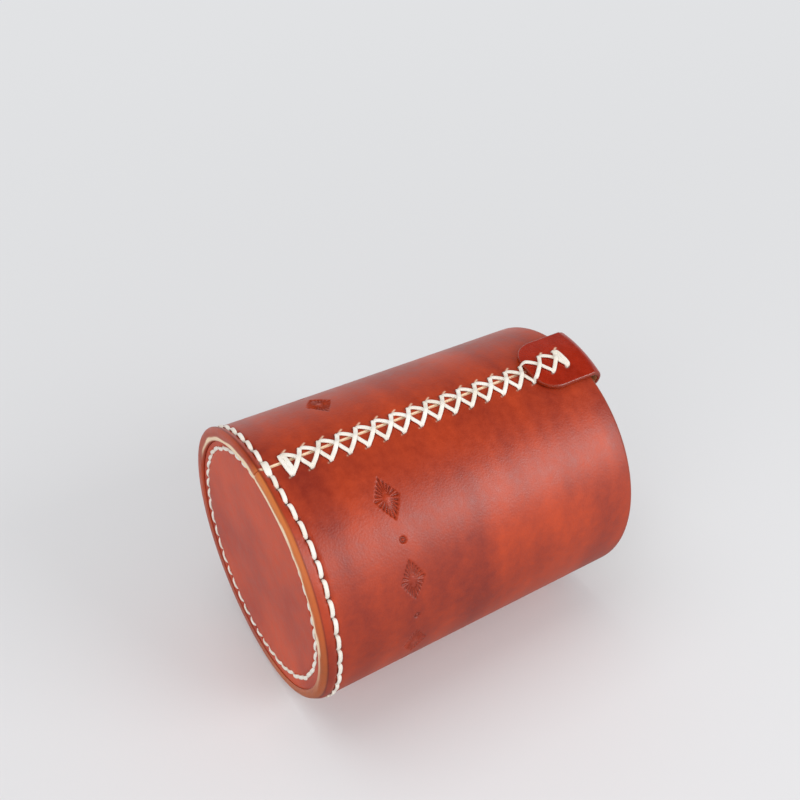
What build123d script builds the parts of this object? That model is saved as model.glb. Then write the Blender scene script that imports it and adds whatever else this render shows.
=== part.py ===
"""Hand-stitched leather pen cup, standing on its base: millimetres, +Z up, seam towards -Y.

A thick sheet is rolled into a tube, butted edge to edge and cross-laced up the front. A disc is set into
the lower end and box-stitched through angled slits. A small strap folds over the rim and covers the top
of the seam, and the last two rows of the lacing hold it.
"""

import os
from math import atan2, cos, degrees, hypot, pi, radians, sin

from build123d import *

# Wall: one rolled sheet of leather
outer_diameter = 85.0
wall_height = 110.0
wall_thickness = 3.5
seam_gap = 0.4
outer_edge_bevel = 1.3
inner_edge_bevel = 0.9
seam_direction = -90.0

# Base disc, set up into the wall by a small recess
disc_thickness = 3.4
disc_recess = 1.5
disc_fit = 0.05

# Cross lacing up the seam
lacing_start = 8.0
lacing_end = 6.8
lacing_pitch = 5.95
lacing_spread = 7.8
lacing_offset = 0.75
lacing_slit_length = 1.8
lacing_slit_width = 1.1
lacing_thread = 1.25
crossing_rise = 0.95

# Box stitching round the base
stitch_pitch = 5.56
stitch_height = 4.7
stitch_inset = 2.9
stitch_slit_length = 1.5
stitch_slit_width = 0.9
stitch_thread = 1.1
stitch_slant = 0.45

# Strap folded over the rim
tab_width = 20.5
tab_thickness = 1.5
tab_fit = 0.05
tab_fold_gap = 0.8
tab_fold_bevel = 1.5
tab_corner = 5.0
tab_edge_gap = 1.6
tab_edge_rise = 0.3

# Room round a thread, in its slit and over the leather
slit_room = 0.1
thread_room = 0.1
lacing_sides = 6
stitch_sides = 4

outer_radius = outer_diameter / 2
inner_radius = outer_radius - wall_thickness
wall_middle = outer_radius - wall_thickness / 2
disc_radius = inner_radius - disc_fit

lacing_rows = round((wall_height - lacing_start - lacing_end) / lacing_pitch) + 1
lacing_step = (wall_height - lacing_start - lacing_end) / (lacing_rows - 1)
row_heights = [lacing_start + row * lacing_step for row in range(lacing_rows)]
lacing_angle = degrees(lacing_spread / 2 / outer_radius)
lacing_turn = degrees(lacing_offset / outer_radius)
tab_rows = (lacing_rows - 2, lacing_rows - 1)
tab_back = row_heights[lacing_rows - 3] + tab_edge_gap
tab_half_gap = wall_thickness / 2 + tab_fit
tab_half_depth = tab_half_gap + tab_thickness
tab_inner_top = wall_height + tab_fold_gap

stitch_count = round(pi * outer_diameter / stitch_pitch)
stitch_turn = 360 / stitch_count
stitch_radius = disc_radius - stitch_inset
stitch_drop = stitch_height - disc_recess
stitch_reach = outer_radius - stitch_radius
stitch_run = hypot(stitch_drop, stitch_reach)


def at(radius, angle, height):
    """Point by its distance from the cup's axis, its angle from the seam in degrees and its height."""
    turn = radians(seam_direction + angle)
    return Vector(radius * cos(turn), radius * sin(turn), height)


def radial_plane(angle):
    """Upright plane through the axis, with x pointing away from the axis and y up."""
    return Plane(origin=(0, 0, 0), x_dir=at(1, angle, 0), z_dir=at(1, angle - 90, 0))


def lacing_place(side):
    """Angle from the seam of a row of lacing slits, -1 or 1, or of a point on the way between the two."""
    return lacing_turn + side * lacing_angle


def lacing_slit_plane(row, side):
    """Plane square to a lacing slit on the wall's outer face, x round the cup, z outwards."""
    angle = lacing_place(side)
    centre = at(outer_radius, angle, row_heights[row])
    return Plane(centre, x_dir=at(1, angle + 90, 0), z_dir=at(1, angle, 0))


def stitch_slit_plane(number):
    """Plane square to an angled base slit where it leaves the wall, x round the cup, z outwards and up."""
    angle = (number + 0.5) * stitch_turn
    tilt = atan2(stitch_drop, stitch_reach)
    outwards = at(cos(tilt), angle, sin(tilt))
    return Plane(at(outer_radius, angle, stitch_height), x_dir=at(1, angle + 90, 0), z_dir=outwards)


def outer_skin(row):
    """Radius of the leather under the thread outside the cup: the tab's on its rows, else the wall's."""
    return wall_middle + tab_half_depth if row in tab_rows else outer_radius


def inner_skin(row):
    """Radius of the leather under the thread inside the cup."""
    return wall_middle - tab_half_depth if row in tab_rows else inner_radius


def laid_thread(diameter, sides, points):
    """Solid thread along straight runs, with mitred bends."""
    with BuildPart() as thread:
        with BuildLine():
            Polyline(*points)
        with BuildSketch(Plane(points[0], z_dir=points[1] - points[0])):
            RegularPolygon(diameter / 2, sides)
        sweep(transition=Transition.RIGHT)
    return thread.part


wall_slits = [lacing_slit_plane(row, side) for row in range(lacing_rows) for side in (-1, 1)]
tab_slits = [lacing_slit_plane(row, side) for row in tab_rows for side in (-1, 1)]
base_slits = [stitch_slit_plane(number) for number in range(stitch_count)]
lacing_slit_depth = wall_thickness + 2 * (tab_fit + tab_thickness)

# Wall: revolved section, open at the seam, with the two rows of lacing slits and the ring of base slits
seam_half_angle = degrees(seam_gap / 2 / outer_radius)
with BuildPart() as wall:
    with BuildSketch(radial_plane(seam_half_angle)) as wall_section:
        with Locations((wall_middle, wall_height / 2)):
            Rectangle(wall_thickness, wall_height)
        inner_corners, outer_corners = wall_section.vertices().group_by(Axis.X)
        chamfer(outer_corners, outer_edge_bevel)
        chamfer(inner_corners, inner_edge_bevel)
    revolve(axis=Axis.Z, revolution_arc=360 - 2 * seam_half_angle)
    with BuildSketch(*wall_slits):
        Rectangle(lacing_slit_length, lacing_slit_width)
    extrude(amount=lacing_slit_depth, both=True, mode=Mode.SUBTRACT)
    with BuildSketch(*base_slits):
        Rectangle(stitch_slit_length, stitch_slit_width)
    extrude(amount=stitch_run + wall_thickness, both=True, mode=Mode.SUBTRACT)

# Base disc, with the same ring of slits leaving through its underside
with BuildPart() as base_disc:
    with BuildSketch(Plane.XY.offset(disc_recess)):
        Circle(disc_radius)
    extrude(amount=disc_thickness)
    with BuildSketch(*base_slits):
        Rectangle(stitch_slit_length, stitch_slit_width)
    extrude(amount=stitch_run + wall_thickness, both=True, mode=Mode.SUBTRACT)

# Tab: hairpin section swept round the axis, then trimmed to the strap's outline seen from the front
tab_turn = degrees(tab_width / inner_radius)
with BuildPart() as rim_tab:
    with BuildSketch(radial_plane(-tab_turn / 2)) as tab_section:
        with Locations((wall_middle, tab_back)):
            Rectangle(
                2 * tab_half_depth,
                tab_inner_top + tab_thickness - tab_back,
                align=(Align.CENTER, Align.MIN),
            )
        chamfer(tab_section.vertices().group_by(Axis.Y)[-1], tab_fold_bevel)
        with Locations((wall_middle, tab_back)):
            Rectangle(
                2 * tab_half_gap,
                tab_inner_top - tab_back,
                align=(Align.CENTER, Align.MIN),
                mode=Mode.SUBTRACT,
            )
    revolve(axis=Axis.Z, revolution_arc=tab_turn)
    with BuildSketch(Plane.XZ) as tab_outline:
        with Locations((0, tab_back)):
            Rectangle(tab_width, 2 * wall_height, align=(Align.CENTER, Align.MIN))
        fillet(tab_outline.vertices().group_by(Axis.Y)[0], tab_corner)
    extrude(amount=outer_diameter, mode=Mode.INTERSECT)
    with BuildSketch(*tab_slits):
        Rectangle(lacing_slit_length, lacing_slit_width)
    extrude(amount=lacing_slit_depth, both=True, mode=Mode.SUBTRACT)

# Lacing: a thread leg in every slit, a bar across each pair inside, a cross between pairs outside
thread_lift = lacing_thread / 2 + thread_room
lacing_pieces = []
for row in range(lacing_rows):
    inside, outside = inner_skin(row) - thread_lift, outer_skin(row) + thread_lift
    height = row_heights[row]
    bar = [at(inside, lacing_place(side), height) for side in (-1, 1)]
    lacing_pieces.append(laid_thread(lacing_thread, lacing_sides, bar))
    if row in (0, lacing_rows - 1):
        for shift in (-lacing_thread / 2, lacing_thread / 2):
            bar = [at(outside, lacing_place(side), height + shift) for side in (-1, 0, 1)]
            lacing_pieces.append(laid_thread(lacing_thread, lacing_sides, bar))
for row in range(lacing_rows - 1):
    start, end = outer_skin(row) + thread_lift, outer_skin(row + 1) + thread_lift
    low, high = row_heights[row], row_heights[row + 1]
    for side, rise in ((-1, 0), (1, crossing_rise)):
        route = [at(start, lacing_place(side), low)]
        if end > start:
            climbed = tab_edge_gap / lacing_step
            route.append(at(end + tab_edge_rise, lacing_place(side * (1 - 2 * climbed)), tab_back))
        route.append(at(end + rise, lacing_place(0), (low + high) / 2))
        route.append(at(end, lacing_place(-side), high))
        lacing_pieces.append(laid_thread(lacing_thread, lacing_sides, route))
with BuildPart() as seam_lacing:
    for row in range(lacing_rows):
        reach = outer_skin(row) - outer_radius + thread_lift
        with BuildSketch(*[lacing_slit_plane(row, side).offset(reach) for side in (-1, 1)]):
            Rectangle(lacing_slit_length - 2 * slit_room, lacing_slit_width - 2 * slit_room)
        extrude(amount=inner_skin(row) - outer_skin(row) - 2 * thread_lift)
    add(lacing_pieces)

# Base stitching: a leg in every angled slit, a run between neighbours on the wall and under the disc
stitch_bow = outer_radius * (1 - cos(radians(stitch_turn / 2)))
stitch_lift = stitch_thread / 2 + thread_room
outside_run = [
    at(outer_radius + stitch_bow + stitch_lift, side * stitch_turn / 2, stitch_height - side * stitch_slant)
    for side in (-1, 1)
]
inside_run = [at(stitch_radius, side * stitch_turn / 2, disc_recess - stitch_lift) for side in (-1, 1)]
stitch_pieces = [laid_thread(stitch_thread, stitch_sides, run) for run in (outside_run, inside_run)]
with BuildPart() as base_stitching:
    with BuildSketch(*[plane.offset(stitch_lift) for plane in base_slits]):
        Rectangle(stitch_slit_length - 2 * slit_room, stitch_slit_width - 2 * slit_room)
    extrude(amount=-(stitch_run + 2 * stitch_lift))
    with PolarLocations(0, stitch_count):
        add(stitch_pieces)

os.makedirs("parts", exist_ok=True)
pieces = {
    "wall": wall,
    "base_disc": base_disc,
    "rim_tab": rim_tab,
    "seam_lacing": seam_lacing,
    "base_stitching": base_stitching,
}
for name, piece in pieces.items():
    piece.part.label = name
    export_step(piece.part, f"parts/{name}.step")
print(f"{lacing_rows} rows of lacing, {stitch_count} base stitches, tab from {tab_back:.1f} to the rim")
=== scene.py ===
# %% [markdown]
# # A hand-stitched leather pen cup
#
# The cup is three cut pieces of vegetable-tanned leather and two lengths of waxed thread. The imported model
# gives their sizes and places in metres, +Z up, with the laced seam towards -Y. This lesson gives each piece
# the surface that a maker's tools leave on it: rounded edges, awl slits, stamped ornament, dye and thread.

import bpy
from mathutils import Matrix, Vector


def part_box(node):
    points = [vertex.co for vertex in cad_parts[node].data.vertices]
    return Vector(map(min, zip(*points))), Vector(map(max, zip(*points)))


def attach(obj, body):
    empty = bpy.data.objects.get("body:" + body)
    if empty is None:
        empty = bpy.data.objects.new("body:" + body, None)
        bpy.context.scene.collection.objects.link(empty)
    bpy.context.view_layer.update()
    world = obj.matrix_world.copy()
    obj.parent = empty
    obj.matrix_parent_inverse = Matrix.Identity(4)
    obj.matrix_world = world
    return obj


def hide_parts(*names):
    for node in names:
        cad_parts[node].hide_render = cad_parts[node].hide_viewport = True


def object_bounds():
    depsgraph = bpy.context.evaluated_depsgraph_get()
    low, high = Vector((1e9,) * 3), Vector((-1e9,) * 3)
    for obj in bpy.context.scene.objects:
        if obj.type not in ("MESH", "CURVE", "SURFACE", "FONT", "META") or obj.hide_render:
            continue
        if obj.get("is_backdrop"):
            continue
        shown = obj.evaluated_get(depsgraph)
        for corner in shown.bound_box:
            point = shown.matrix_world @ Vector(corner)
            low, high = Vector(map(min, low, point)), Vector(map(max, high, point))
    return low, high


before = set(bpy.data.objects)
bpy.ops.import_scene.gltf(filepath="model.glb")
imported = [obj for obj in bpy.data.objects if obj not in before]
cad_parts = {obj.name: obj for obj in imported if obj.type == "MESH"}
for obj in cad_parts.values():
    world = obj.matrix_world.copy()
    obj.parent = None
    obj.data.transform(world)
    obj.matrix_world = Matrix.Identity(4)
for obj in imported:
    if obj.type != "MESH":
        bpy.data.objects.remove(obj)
cad_box = [list(corner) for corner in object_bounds()]
print("packed pieces:", ", ".join(sorted(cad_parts)))

# %% Tools and units
from bisect import bisect_left, bisect_right
from math import ceil, cos, pi, radians, sin

import bmesh
import bpy
import numpy as np
from mathutils import Matrix, Vector

MM = 0.001  # one millimetre in Blender's metres
print("Blender", bpy.app.version_string, "with a millimetre of", MM)

# %% [markdown]
# ## Sizes from the frame
#
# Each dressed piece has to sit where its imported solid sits, so the main sizes are measured from the solids'
# boxes. They could be typed in again, but then a change to the model would leave the looks behind. Working
# in millimetres keeps the numbers those of a leather worker's rule, and one function turns a place on the
# cup (distance from the axis, angle from the seam, height) into Blender's metres. The tab was cut and folded
# by eye, so it reaches a little past its solid, down the seam and above the rim.

# %% Sizes of the leather
def box_mm(piece):
    """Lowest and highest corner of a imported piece, in millimetres."""
    return [np.array(corner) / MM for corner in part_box(piece)]


wall_high = box_mm("wall")[1]
disc_low, disc_high = box_mm("base_disc")
tab_low, tab_high = box_mm("rim_tab")
seat_gap = 0.05  # room between pieces that lie on each other
seam_gap = 0.12  # drawn together by the lacing
outer_radius, wall_height = wall_high[1], wall_high[2]
disc_radius, disc_under, disc_top = disc_high[0], disc_low[2], disc_high[2]
wall_thickness = outer_radius - disc_radius - seat_gap
rolled_length = 2 * pi * outer_radius - seam_gap
tab_tongue, tab_slack = 2.7, 1.4  # reach of the tab past its solid, down the seam and at the fold
tab_back, tab_top = tab_low[2] - tab_tongue, tab_high[2] + tab_slack
tab_half_width, tab_radius = tab_high[0], -tab_low[1]
tab_thickness = tab_radius - outer_radius - seat_gap


def at(radius, angle, height):
    """Points in metres, from radii in mm, angles from the seam in degrees and heights in mm."""
    turn = np.radians(angle) - pi / 2
    return np.stack(np.broadcast_arrays(radius * np.cos(turn), radius * np.sin(turn), height), axis=-1) * MM


print(f"wall {wall_thickness:.2f} mm thick, {rolled_length:.1f} mm long when flat, {wall_height:.1f} mm tall")

# %% [markdown]
# ## Places of the stitches
#
# Lacing runs up the butted seam between two rows of slits, and a ring of slits carries the box stitch round
# the base. Both the leather and the thread need these places: the leather for its slits and the thread for
# its route. So they are set once, as arc lengths or angles from the seam and heights, before either is made.
# An even grid would be simpler, but the awl was guided by hand: the pairs of lacing slits aren't quite level,
# the two pairs in the tab stand apart from the rest, and the base ring dips and crowds where it meets the
# seam. The disc sits askew in the wall, and the ring of slits under it strays inwards opposite the seam.

# %% Slits of the lacing
lacing_start, lacing_pitch, lacing_rows = 8.9, 5.84, 17
lacing_spread, lacing_offset = 7.2, 1.05
last_row = lacing_rows - 1
tab_rows = (last_row - 1, last_row)
tab_step = 1.2  # the rows in the tab stand this much higher
row_lean, tab_draw_in = 0.3, 0.2  # rise from left to right, and drift of the tab's right-hand slits
row_heights = lacing_start + lacing_pitch * np.arange(lacing_rows)
row_heights[list(tab_rows)] += tab_step


def lacing_slit(row, side):
    """Arc length from the seam and height of a slit in one of the two rows, -1 or 1."""
    draw_in = tab_draw_in * max(0, row - tab_rows[0] + 1) if side > 0 else 0
    return lacing_offset + side * lacing_spread / 2 - draw_in, row_heights[row] + side * row_lean / 2


def arc_angle(arc):
    """Angle in degrees of an arc length along the outside of the wall."""
    return np.degrees(arc / outer_radius)


print(f"{2 * lacing_rows} lacing slits, {lacing_pitch:.2f} mm from row to row")

# %% Soft changes and leanings
def ramp(values, start, end):
    """0 up to start, 1 from end on, and a smooth change between. Start may be above end."""
    share = np.clip((values - start) / (end - start), 0, 1)
    return share * share * (3 - 2 * share)


def bell(offsets, width):
    """1 at no offset, falling off smoothly on both sides within about the width."""
    return np.exp(-((offsets / width) ** 2))


def from_seam(angles):
    """The same angles as turns of less than half a circle from the seam, either way."""
    return (np.asarray(angles) + 180) % 360 - 180


def lean(angles, towards):
    """1 in one direction round the cup, 0 in the opposite one."""
    return 0.5 + 0.5 * np.cos(np.radians(angles - towards))


print("half way up a ramp:", ramp(0.5, 0, 1))

# %% Slits of the base
stitch_count = 48
stitch_turn = 360 / stitch_count
stitch_height, stitch_dip, stitch_inset = 5.0, 1.4, 2.3
stitch_crowding = 0.4  # the first slits stand up to this share of a stitch nearer to the seam
stitch_radius = disc_radius - stitch_inset
angle_error, height_error = 0.25, 0.1
hand = np.random.default_rng(7)
disc_drop, drop_towards = 1.1, 190
ring_stray, stray_towards = 1.8, 150


def disc_tilt(angles):
    """Drop in mm of the disc's margin towards the foot, about none at the seam, where it was set deepest."""
    return disc_drop * lean(angles, drop_towards)


def under_ring(angles):
    """Radius in mm of the ring of slits under the disc."""
    return stitch_radius - ring_stray * lean(angles, stray_towards) ** 1.5


order = np.arange(stitch_count) + 0.5
order = order - stitch_crowding * np.minimum(1, order / 2) * (1 - (order / stitch_count) ** 2)
slit_angles = order * stitch_turn + hand.uniform(-angle_error, angle_error, stitch_count)
turned = from_seam(slit_angles)
dipped = ramp(turned, 35, 5) * ramp(turned, -150, -100)
slit_heights = stitch_height - stitch_dip * dipped + hand.uniform(-height_error, height_error, stitch_count)
print(f"{stitch_count} base slits between {slit_heights.min():.1f} and {slit_heights.max():.1f} mm")

# %% [markdown]
# ## Camera
#
# The photograph shows the cup lying on its side with its base towards the left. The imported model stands
# upright, and its pieces must not be turned, so the camera lies over instead: it looks up from below the
# base, and its upright direction is the direction that pointed up from the table. A camera could also be
# aimed with a Track To constraint, but that keeps its top towards +Z, so the three axes are built here by
# cross products.

# %% Camera over the lying cup
eye = Vector((146.9, -232.5, -68.2)) * MM
aim = Vector((-22.8, -22.2, 62.0)) * MM
table_side = radians(78.8)  # direction of the line on which the cup lies
table_up = -Vector((cos(table_side), sin(table_side), 0))
ahead = (aim - eye).normalized()
right = ahead.cross(table_up).normalized()
camera_data = bpy.data.cameras.new("photo_camera")
camera_data.lens = 41.94
camera_data.sensor_width = 36.0
camera_data.clip_start = 0.01
camera = bpy.data.objects.new("photo_camera", camera_data)
camera_axes = Matrix((right, right.cross(ahead), -ahead)).transposed()
camera.matrix_world = Matrix.Translation(eye) @ camera_axes.to_4x4()
scene = bpy.context.scene
scene.collection.objects.link(camera)
scene.camera = camera
scene.view_settings.view_transform = "Standard"
off_normal = np.degrees(ahead.angle(-table_up))
print(f"camera {(aim - eye).length / MM:.0f} mm from its aim, {off_normal:.1f} deg off the table's normal")

# %% [markdown]
# ## Colours and nodes
#
# Shaders and Geometry Nodes are both node trees, and a tree built by hand is a long list of clicks. Two small
# functions stand for the clicks: one turns a colour picked on screen into the linear values that light adds
# up in, and one adds any kind of node, sets it and joins its inputs.

# %% Colour and node helpers
def linear(colour):
    """Linear red, green, blue and alpha of an sRGB hex colour."""
    shares = np.array([int(colour[place : place + 2], 16) for place in (1, 3, 5)]) / 255
    curved = ((shares + 0.055) / 1.055) ** 2.4
    return [*np.where(shares <= 0.04045, shares / 12.92, curved).tolist(), 1.0]


def node(tree, kind, inputs=(), **settings):
    """Add a node with its settings, and fill inputs, by name or number, with values or with other nodes."""
    new = tree.nodes.new(kind)
    for name, value in settings.items():
        setattr(new, name, value)
    for key, value in dict(inputs).items():
        named = [socket for socket in new.inputs if socket.name == key and socket.enabled]
        socket = named[0] if named else new.inputs[key]
        if isinstance(value, bpy.types.Node):
            value = next(output for output in value.outputs if output.enabled)
        if isinstance(value, bpy.types.NodeSocket):
            tree.links.new(value, socket)
        else:
            socket.default_value = value
    return new


def new_material(name):
    """An empty material and its node tree."""
    material = bpy.data.materials.new(name)
    material.use_nodes = True
    material.node_tree.nodes.clear()
    return material, material.node_tree


print("a mid red-brown in linear light:", [round(share, 3) for share in linear("#B23A20")[:3]])

# %% [markdown]
# ## Table and floor
#
# The lying cup rests on a table of matt pale card. In the upright frame that table is an upright plane beside
# the wall, and a second plane lies under the base for the views in which the cup stands. Plain planes would
# block the light and hide the cup from behind. So their card shows only from its front, and not to light on
# its way, which passes through. Far from the cup its paleness is its own, so that it stays even, and near the
# cup it is lit, so that it shows the cup's soft shadow. Mirror-like rays pass through to the world, which has
# like colours, because right under the cup the card is dark.

# %% Pale card
cup_middle = Vector((0, 0, wall_height / 2 * MM))
lit_reach = 0.22  # metres from the cup at which half of the paleness is lit


def matt_card(name):
    """Matt pale paper card: an even, dull surface with no gloss."""
    material, tree = new_material(name)
    rays = node(tree, "ShaderNodeLightPath").outputs["Is Camera Ray"]
    behind = node(tree, "ShaderNodeNewGeometry").outputs["Backfacing"]
    before = node(tree, "ShaderNodeMath", {0: 1.0, 1: behind}, operation="SUBTRACT")
    shown = node(tree, "ShaderNodeMath", {0: rays, 1: before}, operation="MULTIPLY")
    lit = node(tree, "ShaderNodeBsdfDiffuse", {"Color": linear("#E2E2E4")})
    own = node(tree, "ShaderNodeEmission", {"Color": linear("#E3E4E6"), "Strength": 1.0})
    place = node(tree, "ShaderNodeTexCoord").outputs["Object"]
    away = node(tree, "ShaderNodeVectorMath", {0: place, 1: cup_middle}, operation="DISTANCE")
    away = away.outputs["Value"]
    far = node(tree, "ShaderNodeMath", {0: away, 1: away}, operation="MULTIPLY")
    total = node(tree, "ShaderNodeMath", {0: far, 1: lit_reach**2}, operation="ADD")
    even = node(tree, "ShaderNodeMath", {0: far, 1: total}, operation="DIVIDE")
    card = node(tree, "ShaderNodeMixShader", {0: even, 1: lit, 2: own})
    clear = node(tree, "ShaderNodeBsdfTransparent")
    surface = node(tree, "ShaderNodeMixShader", {0: shown, 1: clear, 2: card})
    node(tree, "ShaderNodeOutputMaterial", {"Surface": surface})
    return material


pale_card = matt_card("matt_pale_card")
print("card:", pale_card.name)

# %% Two planes of card
stage_reach = 3.0  # metres from the middle of a plane to its sides
table_gap = 0.4 * MM


def stage_plane(name, centre, normal):
    """A large square of card that faces along its normal."""
    side = normal.orthogonal().normalized() * stage_reach
    across = normal.cross(side)
    corners = [centre - side - across, centre + side - across, centre + side + across, centre - side + across]
    mesh = bpy.data.meshes.new(name)
    mesh.from_pydata(corners, [], [(0, 1, 2, 3)])
    mesh.materials.append(pale_card)
    plane = bpy.data.objects.new(name, mesh)
    scene.collection.objects.link(plane)
    plane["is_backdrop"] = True


stage_plane("photo_table", -table_up * (outer_radius * MM + table_gap), table_up)
stage_plane("standing_floor", Vector((0, 0, 0)), Vector((0, 0, 1)))
print("two planes of pale card, one beside the lying cup and one under the standing cup")

# %% [markdown]
# ## Light
#
# The photograph has the even light of a small product studio: broad soft boxes, pale walls and a dim ceiling.
# A world colour gives the surroundings, a little brighter from below, where the pale table throws light back.
# What mirrors the walls is veiled by them, and what mirrors the ceiling, such as the leather beside the seam,
# or the shadow under the cup keeps its deep colour, so for mirror-like rays the world darkens upwards and
# downwards. Large area lamps give the leather its wide soft sheen. Point lamps would be simpler, but they
# leave small hard glints. The lamps over the table and below the base stay out of reflections, as a lamp
# behind a diffuser does.

# %% World
world = bpy.data.worlds.new("pale_studio")
world.use_nodes = True
world.cycles.sampling_method = "NONE"  # sampling the world as a lamp can't tell mirror-like rays from others
scene.world = world
sky = world.node_tree
sky.nodes.clear()
direction = node(sky, "ShaderNodeTexCoord").outputs["Generated"]
rise = node(sky, "ShaderNodeVectorMath", {0: direction, 1: table_up}, operation="DOT_PRODUCT")
rise = rise.outputs["Value"]
glow = {"Value": rise, "From Min": -1.0, "From Max": 0.3, "To Min": 0.62, "To Max": 0.485}
glow = node(sky, "ShaderNodeMapRange", glow)
ambient = node(sky, "ShaderNodeBackground", {"Color": linear("#FFFFFF"), "Strength": glow})
ceiling = {"Value": rise, "From Min": 0.2, "From Max": 0.7, "To Min": -0.12, "To Max": 0.94}
ceiling = node(sky, "ShaderNodeMapRange", ceiling)
shadow = {"Value": rise, "From Min": -0.25, "From Max": -0.9, "To Min": 0.0, "To Max": 0.75}
shadow = node(sky, "ShaderNodeMapRange", shadow)
path = node(sky, "ShaderNodeLightPath").outputs
dim = node(sky, "ShaderNodeMath", {0: ceiling, 1: shadow}, operation="ADD")
dim = node(sky, "ShaderNodeMath", {0: dim, 1: path["Is Glossy Ray"]}, operation="MULTIPLY")
bright = node(sky, "ShaderNodeMath", {0: 1.0, 1: dim}, operation="SUBTRACT")
backdrop = node(sky, "ShaderNodeBackground", {"Color": linear("#E4E5E7"), "Strength": bright})
seen = {0: path["Is Glossy Ray"], 1: path["Is Transmission Ray"]}
seen = node(sky, "ShaderNodeMath", seen, operation="MAXIMUM")
seen = node(sky, "ShaderNodeMath", {0: path["Is Camera Ray"], 1: seen}, operation="MAXIMUM")
shared = node(sky, "ShaderNodeMixShader", {0: seen, 1: ambient, 2: backdrop})
node(sky, "ShaderNodeOutputWorld", {"Surface": shared})
print("world:", world.name)

# %% Soft boxes
def soft_box(name, direction, distance, size, power, mirrored=True):
    """A square area lamp that shines on the middle of the cup, in metres and watts."""
    lamp = bpy.data.lights.new(name, "AREA")
    lamp.size = size
    lamp.energy = power
    box = bpy.data.objects.new(name, lamp)
    box.location = cup_middle + Vector(direction).normalized() * distance
    box.rotation_euler = (cup_middle - box.location).to_track_quat("-Z", "Y").to_euler()
    box.visible_glossy = mirrored
    scene.collection.objects.link(box)


soft_box("over_the_table", table_up - 0.25 * right, distance=1.5, size=1.1, power=6.6, mirrored=False)
soft_box("front_right", (0.66, -0.57, 0.48), distance=0.9, size=0.45, power=3.9)
soft_box("behind_left", (-0.6, 0.7, 0.45), distance=1.0, size=0.6, power=0.45)
soft_box("below_base", (0.4, -0.45, -0.8), distance=0.9, size=0.5, power=2.4, mirrored=False)

# %% [markdown]
# ## Leather
#
# The cup is vegetable-tanned shoulder, dyed red-brown by hand and waxed. Dye goes on unevenly, so the colour
# has clouds and faint bands along the roll, and the wax gives a broad satin sheen over a fine pebbled grain.
# A cut edge stays cream where the dye missed it, a rubbed edge turns tan, and the inside is the fuzzy flesh
# side. The bottom of a slit is painted near black as shade, and the hollows of the stamps are painted darker,
# partly as pressed leather and partly as shade. One material could be made for each of these, but they run
# into each other, so each point of the leather carries four amounts instead: raw, rubbed, flesh and dark,
# where dark holds dark lines on the edges as well as painted shade. The patterns are laid out on the flat
# hide in millimetres, in a UV map, so that they roll up with the sheet.

# %% Tooling leather
cloud_size, mottle_size, fibre_size, pebble_size = 34, 3, 0.5, 0.6  # mm across on the hide
band_length, band_width = 60, 13  # mm, wiped along the roll
grain_depth = 0.08


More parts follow.
